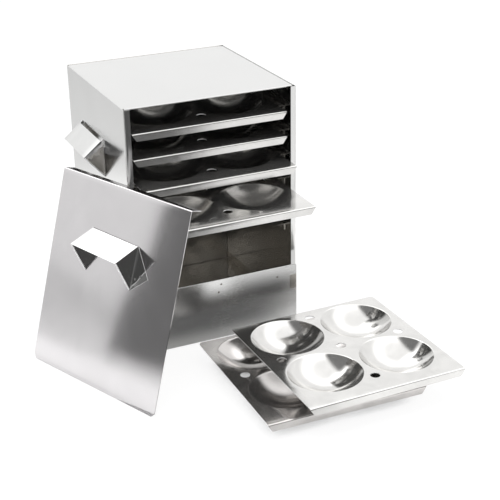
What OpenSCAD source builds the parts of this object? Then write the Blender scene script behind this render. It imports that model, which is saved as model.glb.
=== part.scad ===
// Idli steamer: a folded-sheet cabinet with a water tank, sliding trays of four cups,
// and a lift-out door that leans against the cabinet's left front corner.
// X runs along the front, Y into the cabinet, Z up. The origin is the centre of the
// cabinet's footprint, on the surface that it stands on.

/* [Cabinet] */
// Outside width of the cabinet
cabinet_w = 210; // [204:1:230]
// Outside depth of the cabinet, from the front strips to the back
cabinet_d = 214; // [208:1:235]
// Height of the cabinet
cabinet_h = 303; // [296:1:330]
// Thickness of every sheet
sheet_t = 0.8; // [0.6:0.1:1]
// Outside radius of the folds
fold_r = 1.6; // [1.2:0.1:2]
// Width of the strips folded in at the front edges of the side walls
strip_w = 7; // [5:0.5:8]
// Width of the laps folded in at the back edges of the side walls
rear_lap = 12; // [8:1:20]

/* [Water tank] */
// Height of the front sheet that holds the water in
tank_h = 78; // [60:1:84]
// Height of the flange around the base sheet
base_flange_h = 12; // [8:1:20]
// Width of the hem folded back along the tank front's top edge
tank_hem = 5; // [3:0.5:8]

/* [Top sheet] */
// Gap between the front strips and the top sheet, where the door drops in
door_slot = 4.2; // [3:0.1:6]
// Height of the flanges folded down around the top sheet
top_flange_h = 10; // [6:1:16]
// Gap between the top sheet and the side walls
top_gap = 0.2; // [0.1:0.1:0.5]
// Width of the hem folded under the top sheet's front edge
top_hem = 8; // [4:1:12]

/* [Rails] */
// Height of each rail's flange on the side wall
rail_h = 8; // [6:0.5:10]
// Distance from the front strips to the front ends of the rails
rail_set_back = 30; // [15:1:45]
// Gap behind the rails
rail_rear_gap = 6; // [3:1:12]
// Width of tray edge that lies over a rail
rail_bearing = 4.8; // [3.5:0.1:5.5]
// Gap between a tray and its rail
tray_clear = 0.3; // [0.2:0.1:0.5]

/* [Trays] */
// Distance from the top of the cabinet to the plate of the highest tray
headroom = 29.8; // [26:0.2:34]
// Height from one tray to the next
tray_pitch = 30.4; // [26:0.2:31]
// Gap between a tray's side edge and a front strip
tray_side_gap = 3; // [2.6:0.1:4]
// Distance from the face of the front strips to the lip of a closed tray
tray_set_back = 4.2; // [3.6:0.1:6]
// Gap between a closed tray and the back sheet
tray_rear_gap = 10.2; // [6:0.2:14]
// Height of the lip folded down along a tray's front edge
lip_h = 9; // [6:0.5:12]
// How much each end of the lip slants in
lip_slant = 5; // [2:0.5:8]
// Distance by which the third tray is drawn out
tray_3_out = 22; // [5:1:30]
// Distance by which the fourth tray is drawn out
tray_4_out = 77.7; // [60:0.1:78]
// Sideways play of the third tray, to the right
tray_3_shift = 2; // [0:0.1:2.2]
// Sideways play of the fourth tray, to the left
tray_4_shift = 2.2; // [0:0.1:2.4]
// Radius of the rounded corners at the back of a tray
tray_corner_r = 5; // [2:0.5:8]

/* [Cups] */
// Distance from a tray's side edges to the cups
cup_side_edge = 8; // [8:0.5:12]
// Distance from a tray's front edge to the cups
cup_front_edge = 19; // [19:0.5:24]
// Distance from a tray's back edge to the cups
cup_rear_edge = 5; // [5:0.5:9]
// Gap between neighbouring cups
cup_gap = 6; // [5:0.5:9]
// Depth of a cup, from the top of the plate to its underside
cup_depth = 21; // [16:0.5:23]
// Radius of the rounded rim where a cup meets the plate
rim_r = 1.6; // [1.2:0.1:1.8]
// Diameter of a steam hole
steam_hole_d = 11.2; // [8:0.2:13]
// Distance from a tray's side edge to the middle of the steam hole nearest to it
steam_hole_inset = 20; // [18:0.5:23]

/* [Handles] */
// Length of a side handle's grip
side_grip_l = 80.4; // [70:0.2:95]
// Distance that a side handle stands out from its wall
side_reach = 24.5; // [20:0.5:32]
// Distance from the top of the cabinet down to a side grip's outer edge
side_grip_down = 76; // [60:0.5:100]
// Distance of the side handles behind the middle of the wall
side_grip_y = 14.8; // [0:0.2:25]
// Rise of a side grip from its outer edge to the wall
side_rise = 19.9; // [15:0.1:25]
// Drop of a side handle's leg below the grip's outer edge
side_drop = 27.4; // [20:0.2:36]
// Gap between the back edge of a side grip and the wall
side_grip_gap = 3.4; // [0:0.2:6]
// Length of the door handle's grip
door_grip_l = 75; // [65:0.5:90]
// Distance that the door handle stands out from the door
door_reach = 29.7; // [22:0.1:34]
// Distance from the door's top edge down to its grip's outer edge
door_grip_down = 74.6; // [55:0.2:110]
// Distance of the door handle left of the door's middle
door_grip_x = 2.5; // [0:0.5:8]
// Turn of the door handle on the door, as it was welded
door_grip_turn = 1.8; // [0:0.1:4]
// Rise of the door grip from its outer edge to the door
door_rise = 19; // [15:0.1:25]
// Drop of the door handle's leg below the grip's outer edge
door_drop = 32.3; // [22:0.1:38]
// Gap between the back edge of the door grip and the door
door_grip_gap = 1.2; // [0:0.2:4]
// Width of the flap that joins a leg to the sheet
flap_w = 24; // [12:0.5:30]
// Height of the flap's outer corner above the leg's lower tip
flap_corner = 20; // [10:0.5:24]

/* [Door] */
// Gap between the fitted door and each side wall
door_side_gap = 0.6; // [0.4:0.1:1.5]
// Depth to which the fitted door reaches behind the tank front
door_lap = 5.6; // [3:0.2:10]
// Depth of the flange folded back along the door's top edge
door_flange = 15; // [10:0.5:20]
// Width of the hem folded back along the door's bottom edge
door_hem = 5; // [3:0.5:8]
// Chamfer on the door's bottom corners
door_chamfer = 5; // [2:0.5:8]
// Lean of the door against the cabinet
door_lean = 17.4; // [14:0.1:22]
// Turn of the leaning door, seen from above
door_turn = 67.05; // [60:0.05:75]
// Distance of the door's middle from the cabinet's corner, along the door
door_shift = 11.9; // [0:0.1:25]
// Gap between the door's flange and the cabinet's corner
lean_gap = 0.3; // [0.2:0.1:0.5]

/* [Loose trays] */
// Distance of the lower loose tray to the right of the cabinet's middle
loose_x = 51; // [40:0.5:65]
// Distance from the tank front to the lower loose tray
loose_gap = 38.8; // [25:0.2:60]
// Turn of the lower loose tray
loose_turn = -0.9; // [-3:0.1:3]
// Distance of the upper loose tray to the right of the lower one
stack_x = 35; // [32:0.5:38]
// Distance of the upper loose tray in front of the lower one
stack_y = 19.5; // [17:0.5:22]
// Turn of the upper loose tray
stack_turn = 0.7; // [-1:0.1:1]
// Gap between the upper loose tray's cups and the lower plate
stack_gap = 0.3; // [0.2:0.1:0.5]

/* [Hidden] */
$fn = 96;

// Faces that several pieces share
wall_x = cabinet_w / 2 - sheet_t;
front_y = -cabinet_d / 2;
back_in = cabinet_d / 2 - 2 * sheet_t;

// Trays
tray_w = cabinet_w - 2 * strip_w - 2 * tray_side_gap;
tray_d = back_in - front_y - tray_set_back - tray_rear_gap;
rail_w = wall_x - tray_w / 2 + rail_bearing;

// The four cups fill the plate between its named edges, whichever way is shorter.
cup_span = min(tray_w - 2 * cup_side_edge, tray_d - cup_front_edge - cup_rear_edge);
cup_d = (cup_span - cup_gap) / 2;
cup_pitch = cup_d + cup_gap;
pattern_shift = tray_d / 2 - cup_rear_edge - cup_span / 2;
steam_hole_reach = tray_w / 2 - steam_hole_inset;

// Cup section: the inside is a ball of radius ball_r whose centre is ball_z above the plate.
cup_r = cup_d / 2;
dip = cup_depth - sheet_t;
ball_r = (cup_r * cup_r + dip * dip) / (2 * dip);
ball_z = ball_r - dip;
rim_x = sqrt(pow(ball_r + rim_r, 2) - pow(ball_z + rim_r, 2));
far = 4 * ball_r;

// Door
door_w = 2 * (wall_x - door_side_gap);
door_h = cabinet_h + sheet_t - tank_h + door_lap;
door_raise = sheet_t * (1 - cos(door_lean) + sin(door_lean));
door_offset = sin(door_lean) * door_h + cos(door_lean) * door_flange + lean_gap;

// Grips' outer edges
side_grip_z = cabinet_h - side_grip_down;
door_grip_z = door_h - door_grip_down;

function tray_z(slot) = cabinet_h - headroom - (slot - 1) * tray_pitch;

// Section of a folded corner, its outside corner at the origin and its legs along +X and +Y
module fold(leg_x, leg_y) {
    translate([fold_r, 0]) square([leg_x - fold_r, sheet_t]);
    translate([0, fold_r]) square([sheet_t, leg_y - fold_r]);
    intersection() {
        difference() {
            translate([fold_r, fold_r]) circle(fold_r);
            translate([fold_r, fold_r]) circle(fold_r - sheet_t);
        }
        square(fold_r);
    }
}

// Section of a hem: an edge folded back flat on itself, the sheet along -X at Y = 0
module hem(sheet_l, back_l) {
    translate([-sheet_l, 0]) square([sheet_l - sheet_t, sheet_t]);
    translate([-back_l, sheet_t]) square([back_l - sheet_t, sheet_t]);
    intersection() {
        translate([-sheet_t, sheet_t]) circle(sheet_t);
        translate([-sheet_t, 0]) square([sheet_t, 2 * sheet_t]);
    }
}

// Turns a section drawn in X and Y so that X runs into the cabinet, Y up, and sweeps it along X
module along_x(length) {
    translate([-length / 2, 0, 0]) rotate([90, 0, 90]) linear_extrude(length) children();
}

// Turns a section drawn in X and Y so that Y runs up, and sweeps it into the cabinet
module along_y(length) {
    translate([0, length, 0]) rotate([90, 0, 0]) linear_extrude(length) children();
}

module right_wall() {
    color("silver") linear_extrude(cabinet_h) {
        translate([cabinet_w / 2, front_y]) rotate(90) fold(cabinet_d - fold_r, strip_w);
        translate([cabinet_w / 2, cabinet_d / 2]) rotate(180) fold(rear_lap, 2 * fold_r);
    }
}

module left_wall() {
    mirror([1, 0, 0]) right_wall();
}

// The back sheet ends clear of the walls' folds and lies flat on their laps.
module back_panel() {
    half_w = cabinet_w / 2 - fold_r;
    color("silver") translate([-half_w, back_in, 0]) cube([2 * half_w, sheet_t, cabinet_h]);
}

// The corners of the base are notched at the front, to pass the folded strips.
module base_pan() {
    notch_w = cabinet_w / 2 - strip_w;
    depth = back_in - front_y;
    color("darkgray") {
        difference() {
            translate([0, front_y + fold_r, 0]) along_y(depth - fold_r) {
                translate([-wall_x, 0]) fold(wall_x, base_flange_h);
                mirror([1, 0]) translate([-wall_x, 0]) fold(wall_x, base_flange_h);
            }
            translate([-wall_x - 1, back_in - fold_r, -1])
                cube([2 * wall_x + 2, fold_r + 1, base_flange_h + 2]);
        }
        translate([0, back_in, 0]) mirror([0, 1, 0]) along_x(2 * (wall_x - fold_r))
            fold(2 * fold_r, base_flange_h);
        translate([0, front_y, 0]) along_x(2 * notch_w) fold(2 * fold_r, base_flange_h);
    }
}

// The tank front lies on the faces of the strips, and its hem drops in between them.
module tank_front() {
    hem_w = cabinet_w - 2 * strip_w - 2 * top_gap;
    color("gainsboro") {
        translate([0, front_y - sheet_t, 0]) along_x(cabinet_w)
            square([sheet_t, tank_h - sheet_t]);
        translate([0, front_y - sheet_t, tank_h]) along_x(hem_w)
            rotate(90) mirror([0, 1]) hem(2 * sheet_t, tank_hem);
    }
}

module top_panel() {
    half_w = wall_x - top_gap;
    edge_y = front_y + sheet_t + door_slot;
    depth = back_in - edge_y;
    color("whitesmoke") {
        translate([0, edge_y + 2 * sheet_t, cabinet_h]) along_y(depth - 2 * sheet_t - fold_r) {
            mirror([0, 1]) translate([-half_w, 0]) fold(half_w, top_flange_h);
            rotate(180) translate([-half_w, 0]) fold(half_w, top_flange_h);
        }
        translate([0, back_in, cabinet_h]) rotate([180, 0, 0]) along_x(2 * (half_w - fold_r))
            fold(2 * fold_r, top_flange_h);
        translate([0, edge_y, cabinet_h]) rotate([180, 0, 0]) along_x(2 * (half_w - fold_r))
            hem(3 * sheet_t, top_hem);
    }
}

module right_rail(slot) {
    length = back_in - rail_rear_gap - front_y - rail_set_back;
    color("darkgray")
        translate([wall_x, front_y + rail_set_back, tray_z(slot) - sheet_t - tray_clear])
            along_y(length) rotate(180) fold(rail_w, rail_h);
}

module left_rail(slot) {
    mirror([1, 0, 0]) right_rail(slot);
}

// A handle folded from one sheet. Z = 0 is the grip's outer edge, and Y = 0 is the sheet that
// carries it, with the handle on the -Y side. Only the flaps touch that sheet: the grip's back
// edge ends a gap in front of it.
module handle(grip_l, reach, rise, drop, gap) {
    slope = atan2(rise, reach);
    down = sheet_t / cos(slope);
    back = rise - gap * tan(slope);
    color("whitesmoke") {
        along_x(grip_l)
            polygon([[-gap, back], [-reach, 0], [-reach, -down], [-gap, back - down]]);
        for (side = [-1, 1]) {
            translate([side * (grip_l - sheet_t) / 2, 0, 0]) along_x(sheet_t)
                polygon([[0, rise - down / 2], [-reach, -down / 2], [0, -drop]]);
            rotate([90, 0, 0]) linear_extrude(sheet_t)
                polygon([[side * (grip_l / 2 - sheet_t), rise - down / 2],
                         [side * grip_l / 2, rise - down / 2],
                         [side * (grip_l / 2 + flap_w), flap_corner - drop],
                         [side * grip_l / 2, -drop],
                         [side * (grip_l / 2 - sheet_t), -drop]]);
        }
    }
}

module left_handle() {
    translate([-cabinet_w / 2, side_grip_y, side_grip_z]) rotate(-90)
        handle(side_grip_l, side_reach, side_rise, side_drop, side_grip_gap);
}

module right_handle() {
    mirror([1, 0, 0]) left_handle();
}

// Sets a piece drawn on the upright door, its face at Y = 0 and its bottom edge at Z = 0,
// leaning against the cabinet's left front corner.
module leaning() {
    translate([-cabinet_w / 2, front_y, door_raise]) rotate(-door_turn)
        translate([door_shift, -door_offset, 0]) rotate([-door_lean, 0, 0]) children();
}

module door_panel() {
    color("lightgray") leaning() intersection() {
        union() {
            along_x(door_w) translate([0, sheet_t]) square([sheet_t, door_h - 2 * sheet_t]);
            translate([0, 0, door_h]) rotate([180, 0, 0]) mirror([0, 1, 0]) along_x(door_w)
                fold(door_flange, 2 * fold_r);
            along_x(door_w) rotate(-90) hem(2 * sheet_t, door_hem);
        }
        rotate([90, 0, 0]) translate([0, 0, -2 * door_flange]) linear_extrude(3 * door_flange)
            polygon([[-door_w / 2, door_chamfer], [-door_w / 2 + door_chamfer, 0],
                     [door_w / 2 - door_chamfer, 0], [door_w / 2, door_chamfer],
                     [door_w / 2, door_h], [-door_w / 2, door_h]]);
    }
}

module door_handle() {
    leaning() translate([-door_grip_x, 0, door_grip_z]) rotate([0, door_grip_turn, 0])
        handle(door_grip_l, door_reach, door_rise, door_drop, door_grip_gap);
}

// Half section of a cup: the dished sheet, then the rounded rim that turns into the plate
module cup_section() {
    intersection() {
        translate([0, ball_z]) difference() {
            circle(ball_r + sheet_t);
            circle(ball_r);
        }
        polygon([[0, ball_z], [0, -far], [rim_x * far / (ball_z + rim_r), ball_z - far]]);
    }
    intersection() {
        translate([rim_x, -rim_r]) difference() {
            circle(rim_r);
            circle(rim_r - sheet_t);
        }
        polygon([[rim_x, -rim_r], [rim_x, ball_z], [0, ball_z]]);
    }
}

// Outline of a tray's flat plate, its back corners rounded
module plate_outline() {
    corner = [tray_w, tray_d] / 2 - [tray_corner_r, tray_corner_r];
    translate([-tray_w / 2, -tray_d / 2 + fold_r])
        square([tray_w, tray_d - fold_r - tray_corner_r]);
    translate([-corner.x, 0]) square([2 * corner.x, tray_d / 2]);
    for (side = [-1, 1]) translate([side * corner.x, corner.y]) circle(tray_corner_r);
}

// A tray, its plate's top at Z = 0 and the middle of its plate at the origin
module tray() {
    cup_spots = [for (x = [-1, 1], y = [-1, 1]) [x, y] * cup_pitch / 2];
    hole_spots = [[0, 0], [1, 0], [-1, 0], [0, 1], [0, -1]] * steam_hole_reach;
    color("gainsboro") {
        translate([0, 0, -sheet_t]) linear_extrude(sheet_t) difference() {
            plate_outline();
            translate([0, pattern_shift]) {
                for (spot = cup_spots) translate(spot) circle(rim_x);
                for (spot = hole_spots) translate(spot) circle(steam_hole_d / 2);
            }
        }
        translate([0, pattern_shift, 0]) for (spot = cup_spots)
            translate([spot.x, spot.y, 0]) rotate_extrude() cup_section();
        intersection() {
            translate([0, -tray_d / 2, 0]) rotate([180, 0, 0]) mirror([0, 1, 0])
                along_x(tray_w) fold(2 * fold_r, lip_h);
            translate([0, -tray_d / 2 - 1, 0]) along_y(4 * fold_r)
                polygon([[-tray_w / 2, 0], [-tray_w / 2, -fold_r],
                         [-tray_w / 2 + lip_slant, -lip_h], [tray_w / 2 - lip_slant, -lip_h],
                         [tray_w / 2, -fold_r], [tray_w / 2, 0]]);
        }
    }
}

// A tray on the rails of a slot, drawn out and shifted sideways
module shelved_tray(slot, out, shift) {
    translate([shift, front_y + tray_set_back + tray_d / 2 - out, tray_z(slot)]) tray();
}

module on_floor() {
    translate([loose_x, front_y - sheet_t - loose_gap - tray_d / 2, cup_depth]) children();
}

top_panel();
left_wall();
right_wall();
back_panel();
base_pan();
tank_front();
left_rail(1);  // left_rail_1
left_rail(2);  // left_rail_2
left_rail(3);  // left_rail_3
left_rail(4);  // left_rail_4
left_rail(5);  // left_rail_5
left_rail(6);  // left_rail_6
right_rail(1);  // right_rail_1
right_rail(2);  // right_rail_2
right_rail(3);  // right_rail_3
right_rail(4);  // right_rail_4
right_rail(5);  // right_rail_5
right_rail(6);  // right_rail_6
left_handle();
right_handle();
door_panel();
door_handle();
shelved_tray(1, 0, 0);  // tray_1
shelved_tray(2, 0, 0);  // tray_2
shelved_tray(3, tray_3_out, tray_3_shift);  // tray_3
shelved_tray(4, tray_4_out, -tray_4_shift);  // tray_4
on_floor() rotate(loose_turn) tray();  // loose_tray_lower
on_floor() translate([stack_x, -stack_y, cup_depth + stack_gap]) rotate(stack_turn) tray();  // loose_tray_upper
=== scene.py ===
"""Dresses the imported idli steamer: folded and pressed stainless sheet, and a soft white studio.

It is laid out as an add-on and run as a script. Sizes are in millimetres up to the moment
a mesh is made, and everything is in the frame of the CAD model.
"""
import math

import bmesh
import bpy
import numpy as np
from bpy.props import FloatProperty, FloatVectorProperty, PointerProperty
from bpy.types import Operator, Panel, PropertyGroup
from mathutils import Matrix, Vector
from mathutils.geometry import delaunay_2d_cdt


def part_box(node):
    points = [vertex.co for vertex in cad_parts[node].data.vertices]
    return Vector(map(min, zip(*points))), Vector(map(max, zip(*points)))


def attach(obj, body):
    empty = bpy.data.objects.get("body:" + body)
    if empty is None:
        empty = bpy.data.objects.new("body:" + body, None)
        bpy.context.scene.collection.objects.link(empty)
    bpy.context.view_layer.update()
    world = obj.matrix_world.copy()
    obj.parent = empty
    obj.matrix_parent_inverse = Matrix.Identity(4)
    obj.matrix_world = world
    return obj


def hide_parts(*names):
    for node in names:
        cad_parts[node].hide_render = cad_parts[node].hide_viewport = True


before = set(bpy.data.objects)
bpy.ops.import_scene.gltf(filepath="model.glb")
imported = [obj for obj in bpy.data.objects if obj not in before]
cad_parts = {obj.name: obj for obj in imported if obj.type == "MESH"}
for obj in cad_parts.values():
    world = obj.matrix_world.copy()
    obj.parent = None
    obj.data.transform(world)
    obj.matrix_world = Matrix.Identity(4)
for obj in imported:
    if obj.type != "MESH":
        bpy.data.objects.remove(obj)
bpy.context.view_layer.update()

bl_info = {
    "name": "Idli steamer looks",
    "version": (1, 0, 0),
    "blender": (4, 5, 0),
    "location": "3D View > Sidebar > Steamer",
    "description": "Folded and pressed stainless sheet around the steamer's CAD frame",
    "category": "Add Mesh",
}

MM = 0.001


def box_mm(node):
    """A CAD node's lowest and highest corners, in millimetres."""
    low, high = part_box(node)
    return np.array(low) / MM, np.array(high) / MM


WALL_LOW, WALL_HIGH = box_mm("right_wall")
TRAY_LOW, TRAY_HIGH = box_mm("tray_1")
TOP_LOW, TOP_HIGH = box_mm("top_panel")
TANK_LOW, TANK_HIGH = box_mm("tank_front")
CABINET_W = 2 * WALL_HIGH[0]
CABINET_H = WALL_HIGH[2]
FRONT_Y, BACK_Y = WALL_LOW[1], WALL_HIGH[1]


def size(name, description, default, low=0.0, high=1000.0):
    """A length of the object, in millimetres."""
    return FloatProperty(name=name, description=description, default=default, min=low,
                         max=high, subtype="DISTANCE")


def srgb(hex_colour):
    """A hex colour as linear red, green and blue."""
    parts = [int(hex_colour[i:i + 2], 16) / 255 for i in (1, 3, 5)]
    return tuple(c / 12.92 if c <= 0.04045 else ((c + 0.055) / 1.055) ** 2.4 for c in parts)


def colour(name, description, hex_colour):
    """A surface colour that a user may change."""
    return FloatVectorProperty(name=name, description=description, subtype="COLOR",
                               default=srgb(hex_colour), min=0.0, max=1.0)


class SheetSizes(PropertyGroup):
    """Sizes of the folded cabinet, door and handles, in millimetres."""
    sheet: size("Sheet", "Thickness of every sheet", 0.8, 0.4, 1.5)
    fold: size("Fold radius", "Outside radius of the folds", 1.6, 1.0, 4.0)
    strip: size("Front strip", "Width of the strips folded in at the front", 7.0)
    tank_hem: size("Tank hem", "Width of the hem on the tank front", 5.0)
    top_hem: size("Top hem", "Width of the hem on the top sheet", 8.0)
    door_flange: size("Door flange", "Depth of the door's top flange", 15.0)
    door_hem: size("Door hem", "Width of the hem at the door's foot", 5.0)
    door_chamfer: size("Door chamfer", "Chamfer on the door's bottom corners", 5.0)
    door_gap: size("Door gap", "Gap between the fitted door and each side wall", 0.6)
    door_lap: size("Door lap", "Reach of the fitted door behind the tank front", 5.6)
    flap: size("Flap width", "Width of the flaps that carry a handle", 24.0)
    flap_corner: size("Flap corner", "Height of a flap's outer corner above its tip", 20.0)
    ripple: size("Ripple", "Height of the soft ripples left in the sheet", 0.22, 0.0, 1.0)


class TraySizes(PropertyGroup):
    """Sizes of the pressed trays, in millimetres."""
    cup: size("Cup", "Diameter of a cup at its rim", 84.0)
    rim: size("Rim", "Radius of the rounded rim", 1.6)
    corner: size("Corner", "Radius of the corners at the back", 5.0)
    pitch: size("Cup pitch", "Distance between cup centres", 90.0)
    shift: size("Pattern shift", "Distance of the cups behind the plate's middle", 7.0)
    hole: size("Steam hole", "Diameter of a steam hole", 11.2)
    reach: size("Hole reach", "Distance from the middle hole to the outer ones", 75.0)
    lip: size("Lip", "Height of the lip along a tray's front edge", 9.0)
    slant: size("Lip slant", "How much each end of the lip slants in", 5.0)


class SteelColours(PropertyGroup):
    """Colours of the steel's surfaces."""
    satin: colour("Outer sheet", "Outer sheets, as they leave the rolls", "#D2D2D1")
    door: colour("Door sheet", "The door, a touch warmer", "#D2D0D1")
    inner: colour("Inner sheet", "Mill-finish sheet inside the cabinet", "#C8C4BD")
    # Partly lime from the steam, partly painted shade: the inner face is a darker copy of the
    # door's sheet.
    steamed_and_shaded: colour("Steamed sheet", "The door's inner face, dulled by steam", "#B4B0AB")
    bright: colour("Bright sheet", "Pressed trays, polished on the rollers", "#D6D5D3")
    tinted: colour("Tinted sheet", "A tray that the stove has browned a little", "#D0CDCB")
    # The cut edge's near-white is partly a painted highlight for the bright lines along the sheet
    # edges.
    cut: colour("Cut edge", "Freshly sheared edges", "#F2F2F2")
    weld: colour("Spot weld", "The ring that a spot welder leaves", "#8A8782")


class StudioSettings(PropertyGroup):
    """The floor, lights and camera."""
    lens: FloatProperty(name="Lens", description="Focal length of the camera, in mm",
                        default=85.87, min=10.0)
    key: FloatProperty(name="Top light", description="Power of the light overhead, in W",
                       default=17.0, min=0.0)


# Meshes

def ripple_field(seed, longest):
    """A smooth, seeded height field over two coordinates, about -1 to 1."""
    rng = np.random.default_rng(seed)
    waves = [(rng.uniform(0.35, 1.0) * longest, rng.uniform(0, math.tau),
              rng.uniform(0, math.tau)) for _ in range(7)]

    def height(a, b):
        total = 0.0
        for length, heading, phase in waves:
            along = a * math.cos(heading) + b * math.sin(heading)
            total = total + np.sin(math.tau * along / length + phase) * length / longest
        return total / 3.0
    return height


def fade(values, low, high, margin):
    """0 at low and high, rising smoothly to 1 a margin inside them."""
    share = np.clip(np.minimum(values - low, high - values) / margin, 0, 1)
    return share * share * (3 - 2 * share)


def soft_ripples(seed, longest, across, along, inward, sunk, swing, ripple):
    """A sheet's soft ripples, for loft: seeded, and fading out toward the sheet's edges.

    across and along are (axis, low, high, margin), and inward is the way the sheet is pushed.
    sunk is how much of a ripple only sinks in, and swing how much goes both ways.
    """
    height = ripple_field(seed, longest)

    def push(points):
        share = height(points[..., across[0]], points[..., along[0]]) * ripple
        for axis, low, high, margin in (across, along):
            share = share * fade(points[..., axis], low, high, margin)
        return (np.abs(share) * sunk + share * swing)[..., None] * np.array(inward)
    return push


def ring_faces(rings, around):
    """The faces between closed rings of points that follow one another."""
    return [(ring * around + step, ring * around + (step + 1) % around,
             (ring + 1) * around + (step + 1) % around, (ring + 1) * around + step)
            for ring in range(rings - 1) for step in range(around)]


def folded_section(corners, radii, sheet, pieces):
    """The outer and inner lines of a folded sheet, from its outer corners.

    Every fold turns left, and the sheet's thickness lies to the left. pieces says how many
    faces each flat stretch has, and radii gives each fold's outside radius.
    """
    points = [np.array(c, float) for c in corners]
    headings = [(b - a) / np.linalg.norm(b - a) for a, b in zip(points, points[1:])]
    left = [np.array([-h[1], h[0]]) for h in headings]
    outer, inner = [], []
    for i, (a, b) in enumerate(zip(points, points[1:])):
        start = a + headings[i] * (radii[i - 1] if i > 0 else 0)
        end = b - headings[i] * (radii[i] if i < len(radii) else 0)
        for share in np.linspace(0, 1, pieces[i] + 1):
            outer.append(start + (end - start) * share)
            inner.append(outer[-1] + left[i] * sheet)
        if i < len(radii):
            centre = end + left[i] * radii[i]
            for step in (0.25, 0.5, 0.75):
                turn = step * math.pi / 2
                away = -left[i] * math.cos(turn) + headings[i] * math.sin(turn)
                outer.append(centre + away * radii[i])
                inner.append(centre + away * (radii[i] - sheet))
    return np.array(outer), np.array(inner)


def loft(section, spans, place, ripple=None):
    """Vertices and faces of a folded section swept along a span.

    place(section point, span value) gives a point in space, and ripple(points) how far
    each is pushed off by the sheet's soft ripples.
    """
    outer, inner = section
    count, runs = len(outer), len(spans)
    sides = []
    for line in (outer, inner):
        points = np.array([[place(p, s) for p in line] for s in spans], float)
        if ripple is not None:
            flat = np.array([[place(p, s) for p in outer] for s in spans], float)
            points = points + ripple(flat)
        sides.append(points.reshape(-1, 3))
    verts = np.concatenate(sides)
    back = count * runs
    faces = []
    for j in range(runs - 1):
        for k in range(count - 1):
            a, b = j * count + k, (j + 1) * count + k
            faces.append((a, b, b + 1, a + 1))
            faces.append((back + a, back + a + 1, back + b + 1, back + b))
        for k, flip in ((0, False), (count - 1, True)):
            a, b = j * count + k, (j + 1) * count + k
            quad = (a, back + a, back + b, b)
            faces.append(quad[::-1] if flip else quad)
    for j, flip in ((0, True), (runs - 1, False)):
        for k in range(count - 1):
            a = j * count + k
            quad = (a, back + a, back + a + 1, a + 1)
            faces.append(quad[::-1] if flip else quad)
    return verts, faces


def merge(parts):
    """Several (vertices, faces) pairs as one."""
    verts, faces, base = [], [], 0
    for v, f in parts:
        verts.append(np.asarray(v, float))
        faces += [tuple(i + base for i in face) for face in f]
        base += len(v)
    return np.concatenate(verts), faces


def mirrored(part):
    """A part mirrored from the right side of the cabinet to the left."""
    verts, faces = part
    return verts * np.array([-1.0, 1.0, 1.0]), [face[::-1] for face in faces]


def finish_mesh(mesh, sharp=28.0):
    """Merges doubled points, turns the faces outward, and smooths all but real edges."""
    work = bmesh.new()
    work.from_mesh(mesh)
    bmesh.ops.remove_doubles(work, verts=work.verts, dist=0.00002)
    bmesh.ops.dissolve_degenerate(work, edges=work.edges, dist=0.000005)
    bmesh.ops.recalc_face_normals(work, faces=work.faces)
    work.to_mesh(mesh)
    work.free()
    mesh.polygons.foreach_set("use_smooth", [True] * len(mesh.polygons))
    mesh.set_sharp_from_angle(angle=math.radians(sharp))
    mesh.update()


def placed(name, data):
    """A new object with its data, linked into the scene."""
    thing = bpy.data.objects.new(name, data)
    bpy.context.scene.collection.objects.link(thing)
    return thing


def add_piece(name, part, material, body, nodes, sharp=28.0):
    """Makes a piece of the object from a part in millimetres, riding on a body."""
    verts, faces = part
    mesh = bpy.data.meshes.new(name)
    mesh.from_pydata((np.asarray(verts) * MM).tolist(), [], faces)
    finish_mesh(mesh, sharp)
    mesh.materials.append(material)
    piece = placed(name, mesh)
    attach(piece, body)
    if nodes:
        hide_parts(*nodes)
    return piece


def add_sheet(name, mesh, sheet, steel_name, matrix, body, node_name, sharp,
              edge_radius=0.0):
    """Thickens a one-sided mesh in millimetres, places it and sets it on its body.

    The faces get the steel, and the rim a near-white sheared-edge colour, which is partly a
    painted highlight.
    """
    piece = placed(name, mesh)
    for finish in (steel_name, "sheared_stainless_edge"):
        mesh.materials.append(materials()[finish])
    thick = piece.modifiers.new("sheet", "SOLIDIFY")
    thick.thickness, thick.offset = sheet, -1.0
    thick.use_even_offset = True
    thick.material_offset_rim = 1
    if edge_radius:
        rounded = piece.modifiers.new("edges", "BEVEL")
        rounded.width, rounded.segments = edge_radius, 2
        rounded.angle_limit = math.radians(60)
    evaluated = piece.evaluated_get(bpy.context.evaluated_depsgraph_get())
    solid = bpy.data.meshes.new_from_object(evaluated)
    piece.modifiers.clear()
    piece.data = solid
    solid.transform(Matrix.Scale(MM, 4) @ matrix)
    finish_mesh(solid, sharp)
    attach(piece, body)
    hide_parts(node_name)


# Materials

def node(tree, kind, inputs=None, **settings):
    """Adds a shader node, sets its properties and fills or links its inputs."""
    made = tree.nodes.new(kind)
    for key, value in settings.items():
        setattr(made, key, value)
    for key, value in (inputs or {}).items():
        socket = made.inputs[key]
        if isinstance(value, bpy.types.NodeSocket):
            tree.links.new(value, socket)
        else:
            socket.default_value = value
    return made


def blank_material(name):
    """A new material, and its emptied node tree."""
    material = bpy.data.materials.new(name)
    material.use_nodes = True
    material.node_tree.nodes.clear()
    return material, material.node_tree


def tinted(rgb, factor):
    """A colour made lighter or darker by a factor."""
    return tuple(min(1.0, c * factor) for c in rgb) + (1.0,)


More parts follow.
